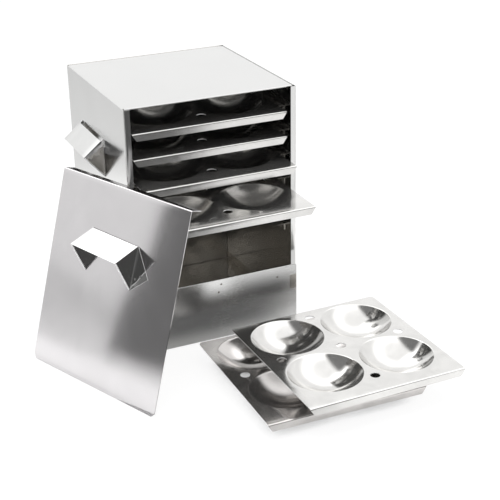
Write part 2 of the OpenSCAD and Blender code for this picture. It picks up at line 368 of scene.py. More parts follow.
def steel(name, rgb, rough, brush, brush_mm, bump_mm, blotch_mm=60.0, contrast=0.06,
          metal=1.0, wave_mm=0.0):
    """Stainless sheet: a metal whose rolling or brushing marks run along one axis.

    brush is the stretch of the marks along X, Y and Z, brush_mm their spacing, blotch_mm
    the size of the faint smears that handling leaves, and wave_mm the height of soft waves
    in the sheet.
    """
    tree = blank_material(name)[1]
    place = node(tree, "ShaderNodeTexCoord").outputs["Object"]
    lines = node(tree, "ShaderNodeMapping", {
        "Vector": place, "Scale": tuple(1 / (brush_mm * MM * s) for s in brush)})
    marks = node(tree, "ShaderNodeTexNoise", {
        "Vector": lines.outputs["Vector"], "Scale": 1.0, "Detail": 4.0, "Roughness": 0.6})
    smears = node(tree, "ShaderNodeTexNoise", {
        "Vector": place, "Scale": 1 / (blotch_mm * MM), "Detail": 3.0, "Roughness": 0.55,
        "Distortion": 0.6})
    smeared = node(tree, "ShaderNodeMapRange", {
        "Value": smears.outputs["Fac"], "From Min": 0.35, "From Max": 0.65})
    tone = node(tree, "ShaderNodeMix", {
        "Factor": smeared.outputs["Result"],
        "A": tinted(rgb, 1.0 - contrast), "B": tinted(rgb, 1.0 + contrast / 2)},
        data_type="RGBA")
    low, high = rough
    both = node(tree, "ShaderNodeMath", {
        0: marks.outputs["Fac"], 1: smears.outputs["Fac"]}, operation="ADD")
    roughness = node(tree, "ShaderNodeMapRange", {
        "Value": both.outputs["Value"], "From Min": 0.6, "From Max": 1.4, "To Min": low,
        "To Max": high})
    relief = node(tree, "ShaderNodeBump", {
        "Height": marks.outputs["Fac"], "Distance": bump_mm * MM, "Strength": 1.0})
    if wave_mm:
        waves = node(tree, "ShaderNodeTexNoise", {
            "Vector": place, "Scale": 1 / (70 * MM), "Detail": 1.0, "Distortion": 0.4})
        relief = node(tree, "ShaderNodeBump", {
            "Height": waves.outputs["Fac"], "Distance": wave_mm * MM, "Strength": 1.0,
            "Normal": relief.outputs["Normal"]})
    shader = node(tree, "ShaderNodeBsdfPrincipled", {
        "Base Color": tone.outputs["Result"], "Metallic": metal,
        "Roughness": roughness.outputs["Result"], "Normal": relief.outputs["Normal"]})
    node(tree, "ShaderNodeOutputMaterial", {"Surface": shader.outputs["BSDF"]})


def materials():
    """The steel finishes, made once and shared by the operators."""
    made = {m.name: m for m in bpy.data.materials}
    if "cold_rolled_stainless_outer" in made:
        return made
    colours = bpy.context.scene.steel_colours
    # Outer sheets leave the rolls almost as mirrors, with a haze that grows with distance.
    steel("cold_rolled_stainless_outer", colours.satin, (0.11, 0.15), (40, 40, 1.2), 0.35,
          0.0015, blotch_mm=90.0, contrast=0.03)
    # The top sheet's grain runs from front to back.
    steel("cold_rolled_stainless_top", colours.satin, (0.13, 0.17), (1.2, 50, 40), 0.35,
          0.0015, blotch_mm=90.0, contrast=0.02)
    # The tank front is brushed along its length, so highlights smear up and down.
    steel("brushed_stainless_tank", colours.satin, (0.24, 0.29), (50, 40, 1), 0.3, 0.003,
          blotch_mm=60.0, contrast=0.02, metal=0.95)
    # The door carries the faint smears of hands and cloths.
    steel("cold_rolled_stainless_door", colours.door, (0.1, 0.14), (30, 30, 1.5), 0.4,
          0.0015, blotch_mm=45.0, contrast=0.03)
    # Inside, mill finish is dulled by steam and lime: it scatters more and mirrors less.
    steel("mill_stainless_inner", colours.inner, (0.15, 0.22), (20, 20, 1.5), 0.5, 0.002,
          blotch_mm=60.0, contrast=0.06, metal=0.8, wave_mm=2.5)
    # The door's inner face meets the steam first: lime leaves it grey and soft. Its darker grey is
    # also painted shade, so that it shows darker where the side handle's leg mirrors it.
    steel("steam_dulled_stainless_door", colours.steamed_and_shaded, (0.3, 0.38), (20, 20, 2), 0.5, 0.002,
          blotch_mm=50.0, contrast=0.06, metal=0.9)
    # Trays are pressed from bright-rolled sheet: sharp mirror with drawing marks.
    steel("bright_stainless_tray", colours.bright, (0.09, 0.16), (12, 1.5, 12), 0.5, 0.002,
          blotch_mm=25.0, contrast=0.06, metal=0.94)
    # One tray has stood over the flame: its oxide film is brownish and a little dull.
    steel("heat_tinted_stainless_tray", colours.tinted, (0.11, 0.18), (12, 1.5, 12), 0.5, 0.002,
          blotch_mm=25.0, contrast=0.1, metal=0.94)
    # Handles are folded by hand from the same sheet.
    steel("cold_rolled_stainless_handle", colours.satin, (0.05, 0.09), (25, 25, 1.5), 0.4,
          0.0015, blotch_mm=20.0, contrast=0.03)
    # A sheared edge is grey-white and rough, so it catches light from every side; its near-white
    # is also partly a painted highlight, for the bright lines along the edges.
    steel("sheared_stainless_edge", colours.cut, (0.35, 0.5), (3, 3, 3), 0.3, 0.004,
          blotch_mm=4.0, contrast=0.1, metal=0.3)
    # A spot weld leaves a small dull ring.
    steel("spot_weld_scale", colours.weld, (0.3, 0.45), (2, 2, 2), 0.4, 0.01, blotch_mm=2.0,
          contrast=0.3)
    return {m.name: m for m in bpy.data.materials}


# Cabinet

def wall_part(sizes):
    """The right wall: front strip, wall and rear lap, folded from one sheet."""
    half = CABINET_W / 2
    lap = CABINET_W / 2 - WALL_LOW[0]
    section = folded_section(
        [(half - sizes.strip, FRONT_Y), (half, FRONT_Y), (half, BACK_Y),
         (half - lap, BACK_Y)], [sizes.fold] * 2, sizes.sheet, [2, 44, 2])
    ripple = soft_ripples(11, 170.0, (1, FRONT_Y + 6, BACK_Y - 6, 35.0),
                          (2, 0, CABINET_H, 30.0), (-1, 0, 0), 0.5, -0.3, sizes.ripple)
    spans = np.linspace(0, CABINET_H, 49)
    return loft(section, spans, lambda p, s: (p[0], p[1], s), ripple)


def top_part(sizes):
    """The top sheet: flanged down at the sides and back, hemmed at the front."""
    half, edge = TOP_HIGH[0], TOP_LOW[1]
    drop = TOP_HIGH[2] - TOP_LOW[2]
    rear = TOP_HIGH[1]
    body = folded_section(
        [(half, CABINET_H - drop), (half, CABINET_H), (-half, CABINET_H),
         (-half, CABINET_H - drop)], [sizes.fold] * 2, sizes.sheet, [2, 44, 2])
    ripple = soft_ripples(5, 190.0, (0, -half + 3, half - 3, 40.0), (1, edge, rear, 30.0),
                          (0, 0, -1), 0.8, 0.0, sizes.ripple)
    start = edge + 3 * sizes.sheet
    parts = [loft(body, np.linspace(start, rear - sizes.fold, 45),
                  lambda p, s: (p[0], s, p[1]), ripple)]
    hem = folded_section(
        [(start, CABINET_H), (edge, CABINET_H), (edge, CABINET_H - 2 * sizes.sheet),
         (edge + sizes.top_hem, CABINET_H - 2 * sizes.sheet)], [sizes.sheet] * 2,
        sizes.sheet, [2, 1, 2])
    across = np.linspace(-half + sizes.fold, half - sizes.fold, 45)
    parts.append(loft(hem, across, lambda p, s: (s, p[0], p[1])))
    lap = folded_section(
        [(rear, CABINET_H - drop), (rear, CABINET_H), (rear - 2 * sizes.fold, CABINET_H)],
        [sizes.fold], sizes.sheet, [2, 1])
    parts.append(loft(lap, across, lambda p, s: (s, p[0], p[1])))
    return merge(parts)


# The tank front's hem ends this far from the front strips.
HEM_CLEARANCE = 0.2


def tank_part(sizes):
    """The tank front, with a hem folded back between the front strips."""
    half, face, top = TANK_HIGH[0], TANK_LOW[1], TANK_HIGH[2]
    hem_half = half - sizes.strip - HEM_CLEARANCE
    ripple = soft_ripples(23, 120.0, (0, -half, half, 30.0), (2, 0, top, 22.0), (0, 1, 0),
                          1.0, 0.0, sizes.ripple)
    plate = folded_section([(face, top - sizes.sheet), (face, 0)], [], sizes.sheet, [20])
    hem = folded_section(
        [(face + 2 * sizes.sheet, top - sizes.tank_hem), (face + 2 * sizes.sheet, top),
         (face, top), (face, top - 2 * sizes.sheet)], [sizes.sheet] * 2, sizes.sheet,
        [2, 1, 1])
    return merge([
        loft(plate, np.linspace(-half, half, 45), lambda p, s: (s, p[0], p[1]), ripple),
        loft(hem, np.linspace(-hem_half, hem_half, 45), lambda p, s: (s, p[0], p[1]))])


def flat_plate(low, high):
    """A thin flat plate between two corners."""
    (x0, y0, z0), (x1, y1, z1) = low, high
    verts = np.array([(x, y, z) for x in (x0, x1) for y in (y0, y1) for z in (z0, z1)])
    return verts, [(0, 1, 3, 2), (4, 6, 7, 5), (0, 4, 5, 1), (2, 3, 7, 6), (0, 2, 6, 4),
                   (1, 5, 7, 3)]


def weld_mark(place, normal, radius=1.5):
    """A spot weld: a low ring round a shallow dimple, lying on a sheet."""
    normal = Vector(normal).normalized()
    side = normal.orthogonal().normalized()
    other = normal.cross(side)
    profile = [(0.0, 0.06), (0.45, 0.05), (0.7, 0.16), (0.9, 0.16), (1.0, 0.0)]
    verts, around = [], 16
    for share, lift in profile:
        for step in range(around):
            angle = math.tau * step / around
            reach = share * radius
            verts.append(Vector(place) + side * math.cos(angle) * reach
                         + other * math.sin(angle) * reach + normal * lift)
    return np.array([tuple(v) for v in verts]), ring_faces(len(profile), around)


# The radii of the spot welds that differ from the usual one.
TANK_WELD_R, FLANGE_WELD_R, HANDLE_WELD_R = 1.3, 2.2, 1.2
# Spot welds on the tank front, as (across, up), and a small dull patch at its right end.
TANK_WELDS = [(4.4, 71.4), (0.8, 61.5), (79.0, 65.0)]
PATCH_W, PATCH_LOW, PATCH_HIGH = 8.7, 46.0, 64.5
PATCH_EDGE, PATCH_LIFT = 0.3, 0.12
# How far the outer welds of the rails, the top sheet's flanges and the rear laps stand from
# the ends, and how high they sit.
RAIL_END, RAIL_UP = 5.0, 3.4
FLANGE_FRONT, FLANGE_BACK, FLANGE_DOWN = 19.0, 25.0, 7.5
LAP_END, LAP_WELDS = 14.0, 9


class STEAMER_OT_cabinet(Operator):
    """Makes the cabinet's sheets, and finishes the ones that the CAD model holds"""
    bl_idname = "steamer.cabinet"
    bl_label = "Cabinet sheets"

    def execute(self, context):
        sizes, steels = context.scene.sheet_sizes, materials()
        outer = steels["cold_rolled_stainless_outer"]
        wall = wall_part(sizes)
        add_piece("right_wall_sheet", wall, outer, "cabinet", ["right_wall"])
        add_piece("left_wall_sheet", mirrored(wall), outer, "cabinet", ["left_wall"])
        add_piece("top_sheet", top_part(sizes), steels["cold_rolled_stainless_top"], "cabinet",
                  ["top_panel"])
        add_piece("tank_front_sheet", tank_part(sizes), steels["brushed_stainless_tank"],
                  "cabinet", ["tank_front"])
        inside = ["back_panel", "base_pan"]
        for name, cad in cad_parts.items():
            if name in inside or "_rail_" in name:
                cad.data.materials.clear()
                cad.data.materials.append(steels["mill_stainless_inner"])
        self.weld_marks(sizes, steels)
        edge, face = TANK_HIGH[0] - PATCH_EDGE, TANK_LOW[1]
        patch = flat_plate((edge - PATCH_W, face - PATCH_LIFT, PATCH_LOW),
                           (edge, face, PATCH_HIGH))
        add_piece("tank_front_patch", patch, steels["mill_stainless_inner"], "cabinet", [])
        return {"FINISHED"}

    def weld_marks(self, sizes, steels):
        """Spot welds on the tank front, the rails, the top sheet's flanges and the rear laps."""
        marks = [weld_mark((x, TANK_LOW[1], z), (0, -1, 0), TANK_WELD_R)
                 for x, z in TANK_WELDS]
        for slot in range(1, 7):
            low, high = box_mm(f"right_rail_{slot}")
            inner_face = high[0] - sizes.sheet
            for y in (low[1] + RAIL_END, (low[1] + high[1]) / 2, high[1] - RAIL_END):
                marks += [weld_mark((side * inner_face, y, low[2] + RAIL_UP), (-side, 0, 0))
                          for side in (-1, 1)]
        flange = TOP_HIGH[0] - sizes.sheet
        for y in (FRONT_Y + FLANGE_FRONT, 0, BACK_Y - FLANGE_BACK):
            marks += [weld_mark((side * flange, y, CABINET_H - FLANGE_DOWN), (-side, 0, 0),
                                FLANGE_WELD_R) for side in (-1, 1)]
        lap_middle = (WALL_LOW[0] + CABINET_W / 2) / 2
        for z in np.linspace(LAP_END, CABINET_H - LAP_END, LAP_WELDS):
            marks += [weld_mark((side * lap_middle, BACK_Y, z), (0, 1, 0)) for side in (-1, 1)]
        add_piece("cabinet_spot_welds", merge(marks), steels["spot_weld_scale"], "cabinet",
                  [])


# Handles

def handle_part(sizes, grip_l, reach, rise, drop, gap):
    """A handle folded from one sheet, its grip's outer edge at Z = 0, standing off in -Y.

    Only its flaps touch the sheet behind it: the grip's back edge ends a gap in front.
    """
    half, back = grip_l / 2, rise - gap * rise / reach
    corners = {
        "wall_left": (-half, 0, rise), "wall_right": (half, 0, rise),
        "back_left": (-half, -gap, back), "back_right": (half, -gap, back),
        "edge_left": (-half, -reach, 0), "edge_right": (half, -reach, 0),
        "tip_left": (-half, 0, -drop), "tip_right": (half, 0, -drop),
        "flap_left": (-half - sizes.flap, 0, sizes.flap_corner - drop),
        "flap_right": (half + sizes.flap, 0, sizes.flap_corner - drop)}
    names = list(corners)
    faces = [("back_left", "edge_left", "edge_right", "back_right"),
             ("wall_right", "back_right", "edge_right", "tip_right"),
             ("wall_left", "tip_left", "edge_left", "back_left"),
             ("wall_right", "tip_right", "flap_right"),
             ("wall_left", "flap_left", "tip_left")]
    return (np.array([corners[n] for n in names], float),
            [tuple(names.index(n) for n in face) for face in faces])


def folded_handle(name, sizes, part, matrix, body):
    """Rounds the folds of a handle's sheet, thickens it and sets it on its wall."""
    verts, faces = part
    mesh = bpy.data.meshes.new(name + "_sheet")
    mesh.from_pydata(verts.tolist(), [], faces)
    work = bmesh.new()
    work.from_mesh(mesh)
    creases = [e for e in work.edges if len(e.link_faces) == 2]
    bmesh.ops.bevel(work, geom=creases, offset=CREASE_RADIUS, segments=3, profile=0.5,
                    affect="EDGES", offset_type="OFFSET")
    bmesh.ops.subdivide_edges(work, edges=[e for e in work.edges if e.calc_length() > 12],
                              cuts=3, use_grid_fill=True)
    work.to_mesh(mesh)
    work.free()
    add_sheet(name + "_sheet", mesh, sizes.sheet, "cold_rolled_stainless_handle", matrix, body,
              name, 35.0, HANDLE_EDGE)


def handle_hems(sizes, grip_l, reach, drop, matrix):
    """The hems of the legs' free edges: a round bead along each, a little short of its ends."""
    parts, around, radius = [], 12, sizes.sheet
    for side in (-1, 1):
        x = side * (grip_l / 2 - sizes.sheet / 2)
        outer, tip = Vector((x, -reach, 0)), Vector((x, 0, -drop))
        axis = (tip - outer).normalized()
        inward = Vector((0, -axis.z, axis.y)) * radius * HEM_SINK
        across, beside = Vector((1, 0, 0)), Vector((1, 0, 0)).cross(axis)
        verts = []
        for share in HEM_ENDS:
            middle = outer.lerp(tip, share) + inward
            for step in range(around):
                angle = math.tau * step / around
                verts.append(matrix @ (middle + across * math.cos(angle) * radius
                                       + beside * math.sin(angle) * radius))
        ends = [tuple(range(around))[::-1], tuple(range(around, 2 * around))]
        parts.append((np.array([tuple(v) for v in verts]), ring_faces(2, around) + ends))
    return merge(parts)


def handle_welds(sizes, grip_l, drop, matrix):
    """Two spot welds on each flap of a handle."""
    marks = []
    for side in (-1, 1):
        for out, up in ((0.5, sizes.flap_corner), (0.22, sizes.flap_corner * 0.75)):
            x = side * (grip_l / 2 + sizes.flap * out)
            place = matrix @ Vector((x, -sizes.sheet, up - drop))
            normal = matrix.to_3x3() @ Vector((0, -1, 0))
            marks.append(weld_mark(place, normal, HANDLE_WELD_R))
    return merge(marks)


# The handles' sizes and places in millimetres, and the door's lean and turn in degrees.
SIDE_GRIP = {"grip_l": 80.4, "reach": 24.5, "rise": 19.9, "drop": 27.4, "gap": 3.4}
SIDE_PLACE = (14.8, 227.0)
DOOR_GRIP = {"grip_l": 75.0, "reach": 29.7, "rise": 19.0, "drop": 32.3, "gap": 1.2}
DOOR_PLACE = (-2.5, 156.8)
DOOR_GRIP_TURN = 1.8
DOOR_LEAN, DOOR_TURN, DOOR_SHIFT, LEAN_GAP = 17.4, 67.05, 11.9, 0.3
CREASE_RADIUS, HANDLE_EDGE = 0.6, 0.18
# Where a leg's hem starts and ends along its edge, and how deep it sinks into the leg, as shares.
HEM_ENDS, HEM_SINK = (0.03, 0.97), 0.6


def door_sizes(sizes):
    """Width and height of the door sheet."""
    width = CABINET_W - 2 * sizes.sheet - 2 * sizes.door_gap
    return width, CABINET_H + sizes.sheet - TANK_HIGH[2] + sizes.door_lap


def leaning(sizes):
    """The matrix that leans the upright door against the cabinet's left front corner."""
    lean = math.radians(DOOR_LEAN)
    height = door_sizes(sizes)[1]
    offset = math.sin(lean) * height + math.cos(lean) * sizes.door_flange + LEAN_GAP
    lift = sizes.sheet * (1 - math.cos(lean) + math.sin(lean))
    return (Matrix.Translation((-CABINET_W / 2, FRONT_Y, lift))
            @ Matrix.Rotation(math.radians(-DOOR_TURN), 4, "Z")
            @ Matrix.Translation((DOOR_SHIFT, -offset, 0))
            @ Matrix.Rotation(-lean, 4, "X"))


class STEAMER_OT_handles(Operator):
    """Makes the two side handles and the door handle"""
    bl_idname = "steamer.handles"
    bl_label = "Folded handles"

    def execute(self, context):
        sizes, steels = context.scene.sheet_sizes, materials()
        y, z = SIDE_PLACE
        left = Matrix.Translation((-CABINET_W / 2, y, z)) @ Matrix.Rotation(-math.pi / 2, 4, "Z")
        right = Matrix.Translation((CABINET_W / 2, y, z)) @ Matrix.Rotation(math.pi / 2, 4, "Z")
        turn = Matrix.Rotation(math.radians(DOOR_GRIP_TURN), 4, "Y")
        x, up = DOOR_PLACE
        door = leaning(sizes) @ Matrix.Translation((x, 0, up)) @ turn
        rows = [("left_handle", SIDE_GRIP, left, "cabinet"),
                ("right_handle", SIDE_GRIP, right, "cabinet"),
                ("door_handle", DOOR_GRIP, door, "door")]
        for name, grip, matrix, body in rows:
            folded_handle(name, sizes, handle_part(sizes, **grip), matrix, body)
            add_piece(name + "_welds", handle_welds(sizes, grip["grip_l"], grip["drop"], matrix),
                      steels["cold_rolled_stainless_handle"], body, [])
            # The hems take the near-white edge colour, partly a painted highlight along the legs'
            # free edges.
            hems = handle_hems(sizes, grip["grip_l"], grip["reach"], grip["drop"], matrix)
            add_piece(name + "_hems", hems, steels["sheared_stainless_edge"], body, [],
                      sharp=50.0)
        return {"FINISHED"}


# Door

def door_part(sizes):
    """The door: top flange, face and bottom hem, folded from one sheet."""
    width, height = door_sizes(sizes)
    hem = 2 * sizes.sheet
    section = folded_section(
        [(sizes.door_flange, height), (0, height), (0, 0), (hem, 0),
         (hem, sizes.door_hem)], [sizes.fold, sizes.sheet, sizes.sheet], sizes.sheet,
        [2, 46, 1, 2])
    swell = ripple_field(31, 260.0)

    def ripple(points):
        window = fade(points[..., 2], 4, height - 4, 60.0)
        bow = np.cos(math.pi * points[..., 0] / width)
        push = (swell(points[..., 0], points[..., 2]) * 0.6 + bow * 0.8) * window
        return np.stack([push * 0, push * sizes.ripple * 2, push * 0], -1)

    def place(p, s):
        cut = max(0.0, sizes.door_chamfer - p[1])
        return ((width / 2 - cut) * s, p[0], p[1])
    return loft(section, np.linspace(-1, 1, 45), place, ripple)


class STEAMER_OT_door(Operator):
    """Makes the leaning door"""
    bl_idname = "steamer.door"
    bl_label = "Leaning door"

    def execute(self, context):
        sizes, steels = context.scene.sheet_sizes, materials()
        verts, faces = door_part(sizes)
        matrix = np.array(leaning(sizes))
        verts = verts @ matrix[:3, :3].T + matrix[:3, 3]
        sheet = add_piece("door_sheet", (verts, faces), steels["cold_rolled_stainless_door"],
                          "door", ["door_panel"]).data
        # The inward faces take the darker copy of the door steel, partly painted shade.
        sheet.materials.append(steels["steam_dulled_stainless_door"])
        inward = Vector(matrix[:3, 1])
        for face in sheet.polygons:
            face.material_index = int(face.normal.dot(inward) > 0.9)
        return {"FINISHED"}


# Trays

# How finely the circles and the plate are divided, and how near its points may lie to a circle.
CUP_SIDES, HOLE_SIDES, PLATE_LINES = 96, 32, 33
POINT_CLEARANCE = 2.5


def circle_points(x, y, radius, count):
    """Points round a circle, in the plane."""
    angles = np.linspace(0, math.tau, count, endpoint=False)
    return np.stack([x + radius * np.cos(angles), y + radius * np.sin(angles)], -1)


def cup_profile(trays, sheet, depth):
    """The cup's inside from its rim to its middle, as (radius, height) points."""
    radius, dip = trays.cup / 2, depth - sheet
    ball = (radius * radius + dip * dip) / (2 * dip)
    centre = ball - dip
    rim_x = math.sqrt((ball + trays.rim) ** 2 - (centre + trays.rim) ** 2)
    tilt = math.atan2(rim_x, centre + trays.rim)
    line = [(rim_x - trays.rim * math.sin(a), -trays.rim + trays.rim * math.cos(a))
            for a in np.linspace(0, tilt, 6)]
    line += [(ball * math.sin(a), centre - ball * math.cos(a))
             for a in np.linspace(tilt, 0, 24)[1:]]
    return rim_x, line


def tray_surface(trays, sizes, width, depth, cup_depth, lip):
    """The upper surface of a tray, its plate at Z = 0, as vertices and faces."""
    rim_x, profile = cup_profile(trays, sizes.sheet, cup_depth)
    fold = sizes.fold
    front, back, half = -depth / 2 + fold, depth / 2, width / 2
    cups = [(x * trays.pitch / 2, y * trays.pitch / 2 + trays.shift)
            for x in (-1, 1) for y in (-1, 1)]
    holes = [(x * trays.reach, y * trays.reach + trays.shift)
             for x, y in ((0, 0), (1, 0), (-1, 0), (0, 1), (0, -1))]
    columns = np.linspace(-half, half, PLATE_LINES)
    rows = np.linspace(front, back, PLATE_LINES)
    rings = [circle_points(x, y, rim_x, CUP_SIDES) for x, y in cups]
    rings += [circle_points(x, y, trays.hole / 2, HOLE_SIDES) for x, y in holes]
    turn_x, turn_y = half - trays.corner, back - trays.corner
    border = [(x, front) for x in columns] + [(half, y) for y in rows[1:] if y < turn_y]
    border += [(turn_x + trays.corner * math.cos(a), turn_y + trays.corner * math.sin(a))
               for a in np.linspace(0, math.pi / 2, 7)]
    border += [(x, back) for x in columns[::-1] if abs(x) < turn_x]
    border += [(-turn_x + trays.corner * math.cos(a), turn_y + trays.corner * math.sin(a))
               for a in np.linspace(math.pi / 2, math.pi, 7)]
    border += [(-half, y) for y in rows[::-1][:-1] if y < turn_y]
    circles = [(x, y, rim_x) for x, y in cups] + [(x, y, trays.hole / 2) for x, y in holes]
    inside = [(x, y) for x in columns[1:-1] for y in rows[1:-1]
              if all(math.hypot(x - cx, y - cy) > r + POINT_CLEARANCE for cx, cy, r in circles)
              and (abs(x) < turn_x or y < turn_y)]
    points, edges = [], []
    for loop in [border] + [r.tolist() for r in rings]:
        base = len(points)
        points += [tuple(p) for p in loop]
        edges += [(base + i, base + (i + 1) % len(loop)) for i in range(len(loop))]
    points += inside
    flat, _, tris, _, _, _ = delaunay_2d_cdt([Vector(p) for p in points], edges, [], 0, 1e-6)
    keep = []
    for tri in tris:
        middle = sum((flat[i] for i in tri), Vector((0, 0))) / 3
        if all(math.hypot(middle.x - cx, middle.y - cy) > r * 0.999 for cx, cy, r in circles):
            keep.append(tuple(tri))
    parts = [(np.array([(p.x, p.y, 0.0) for p in flat]), keep)]
    for x, y in cups:
        verts = []
        for radius, height in profile[:-1]:
            ring = circle_points(x, y, radius, CUP_SIDES)
            verts += [(a, b, height) for a, b in ring]
        verts.append((x, y, profile[-1][1]))
        faces = [(a, d, c, b) for a, b, c, d in ring_faces(len(profile) - 1, CUP_SIDES)]
        last, middle = (len(profile) - 2) * CUP_SIDES, len(verts) - 1
        faces += [(last + step, middle, last + (step + 1) % CUP_SIDES)
                  for step in range(CUP_SIDES)]
        parts.append((np.array(verts), faces))
    line = [(front - fold * math.sin(a), -fold + fold * math.cos(a))
            for a in np.linspace(0, math.pi / 2, 6)]
    line += [(-depth / 2, -fold + (fold - lip) * s) for s in (0.34, 0.67, 1.0)]
    verts, faces = [], []
    for y, z in line:
        taper = trays.slant * np.clip((-z - fold) / (lip - fold), 0, 1)
        verts += [(x * (half - taper) / half, y, z) for x in columns]
    for row in range(len(line) - 1):
        for step in range(len(columns) - 1):
            a = row * len(columns) + step
            faces.append((a, a + len(columns), a + len(columns) + 1, a + 1))
    parts.append((np.array(verts), faces))
    return merge(parts)


def add_tray(context, number, node_name, body, turn, steel_name):
    """Makes one tray from the shared surface, with ripples of its own."""
    trays, sizes = context.scene.tray_sizes, context.scene.sheet_sizes
    width, depth = TRAY_HIGH[0] - TRAY_LOW[0], TRAY_HIGH[1] - TRAY_LOW[1]
    cup_depth = TRAY_HIGH[2] - TRAY_LOW[2]
    verts, faces = tray_surface(trays, sizes, width, depth, cup_depth, trays.lip)
    height = ripple_field(40 + number, 150.0)
    window = fade(verts[:, 1], -depth / 2, depth / 2, 25.0)
    verts[:, 2] += (np.abs(height(verts[:, 0], verts[:, 1])) * -0.5) * window * sizes.ripple
    low, high = box_mm(node_name)
    centre = (low + high) / 2
    mesh = bpy.data.meshes.new(node_name + "_sheet")
    mesh.from_pydata(verts.tolist(), [], faces)
    finish_mesh(mesh, 40.0)
    place = Matrix.Translation((centre.tolist()[0], centre.tolist()[1], high[2]))
    add_sheet(node_name + "_sheet", mesh, sizes.sheet, steel_name,
              place @ Matrix.Rotation(math.radians(turn), 4, "Z"), body, node_name,
              40.0)


BRIGHT_STEEL, TINTED_STEEL = "bright_stainless_tray", "heat_tinted_stainless_tray"
TRAYS = [("tray_1", "first_tray", 0.0, BRIGHT_STEEL), ("tray_2", "second_tray", 0.0, BRIGHT_STEEL),
         ("tray_3", "third_tray", 0.0, BRIGHT_STEEL), ("tray_4", "fourth_tray", 0.0, BRIGHT_STEEL),
         ("loose_tray_lower", "lower_tray", -0.9, TINTED_STEEL),
         ("loose_tray_upper", "upper_tray", 0.7, BRIGHT_STEEL)]


class STEAMER_OT_trays(Operator):
    """Makes the pressed trays with their cups and steam holes"""
    bl_idname = "steamer.trays"
    bl_label = "Pressed trays"

    def execute(self, context):
        for number, row in enumerate(TRAYS):
            add_tray(context, number, *row)
        return {"FINISHED"}


# Studio

CAMERA_TURN, CAMERA_TILT, CAMERA_ROLL = 24.236, 24.006, -0.948
CAMERA_PLACE = (-493.1, FRONT_Y - 1191.2, 690.1)
SENSOR_W = 36.0
# From here on in metres.
X, Y, Z = (Vector(axis) for axis in ((1, 0, 0), (0, 1, 0), (0, 0, 1)))
FLOOR_REACH, LAMP_SIZE, LAMP_HEIGHT = 4.0, 1.5, 1.5
PAPER_LIFT, SHADOW_REACH = Z * 0.0006, 0.034
EDGE_ACROSS, EDGE_ALONG = (Vector(v).normalized() for v in ((0.78, 0.62, 0), (0.62, -0.78, 0)))
LIP_WAY = Vector((0.93, 0.36, 0))
# The way to the brightest place of the tent, above the steamer's back.
LOBE_WAY = (-0.14, 0.667, 0.731)


def camera_matrix():
    """The camera's place and aim, as solved from the photograph's perspective."""
    turn, tilt, roll = (math.radians(a) for a in (CAMERA_TURN, CAMERA_TILT, CAMERA_ROLL))
    forward = Vector((math.sin(turn) * math.cos(tilt), math.cos(turn) * math.cos(tilt),
                      -math.sin(tilt)))
    level = Vector((math.cos(turn), -math.sin(turn), 0))
    upright = level.cross(forward)
    right = math.cos(roll) * level + math.sin(roll) * upright
    up = -math.sin(roll) * level + math.cos(roll) * upright
    matrix = Matrix((right, up, -forward)).transposed().to_4x4()
    matrix.translation = Vector(CAMERA_PLACE) * MM
    return matrix


def cloth_material(name, foot, head, hem):
    """Dark cloth in a mirror: one brightness low down and another from 0.8 m up.

    hem is how far the light floor shines up its lowest part.
    """
    material, tree = blank_material(name)
    place = node(tree, "ShaderNodeTexCoord").outputs["Object"]
    height = node(tree, "ShaderNodeSeparateXYZ", {0: place}).outputs["Z"]
    strength = node(tree, "ShaderNodeMapRange", {
        "Value": height, "From Min": 0.6, "From Max": 0.8, "To Min": foot, "To Max": head},
        interpolation_type="SMOOTHSTEP")
    shine = node(tree, "ShaderNodeMapRange", {
        "Value": height, "From Min": 0.0, "From Max": max(hem, MM), "To Min": 1.0 if hem else 0.0,
        "To Max": 0.0})
    both = node(tree, "ShaderNodeMath", {0: strength.outputs["Result"],
                                         1: shine.outputs["Result"]}, operation="ADD")
    glow = node(tree, "ShaderNodeEmission", {"Strength": both.outputs["Value"]})
    node(tree, "ShaderNodeOutputMaterial", {"Surface": glow.outputs["Emission"]})
    return material


def soft_material(name, tone, fades, one_sided):
    """A sheet of one brightness, fading in along each (axis, clear, full)."""
    material, tree = blank_material(name)
    place = node(tree, "ShaderNodeTexCoord").outputs["Object"]
    share = 1.0
    if one_sided:
        back = node(tree, "ShaderNodeNewGeometry").outputs["Backfacing"]
        share = node(tree, "ShaderNodeMath", {0: 1.0, 1: back},
                     operation="SUBTRACT").outputs["Value"]
    for axis, clear, full in fades:
        reach = node(tree, "ShaderNodeVectorMath", {0: place, 1: tuple(axis)},
                     operation="DOT_PRODUCT")
        part = node(tree, "ShaderNodeMapRange", {
            "Value": reach.outputs["Value"], "From Min": clear, "From Max": full},
            interpolation_type="SMOOTHSTEP")
        share = node(tree, "ShaderNodeMath", {0: share, 1: part.outputs["Result"]},
                     operation="MULTIPLY").outputs["Value"]
    through = node(tree, "ShaderNodeBsdfTransparent")
    glow = node(tree, "ShaderNodeEmission", {"Strength": tone})
    mixed = node(tree, "ShaderNodeMixShader", {0: share, 1: through.outputs["BSDF"],
                                               2: glow.outputs["Emission"]})
    node(tree, "ShaderNodeOutputMaterial", {"Surface": mixed.outputs["Shader"]})
    return material


def ray_is(tree, *kinds):
    """1 where a ray of one of these kinds arrives, from Light Path."""
    path = node(tree, "ShaderNodeLightPath")
    seen = path.outputs[kinds[0]]
    for kind in kinds[1:]:
        seen = node(tree, "ShaderNodeMath", {0: seen, 1: path.outputs[kind]},
                    operation="MAXIMUM").outputs["Value"]
    return seen


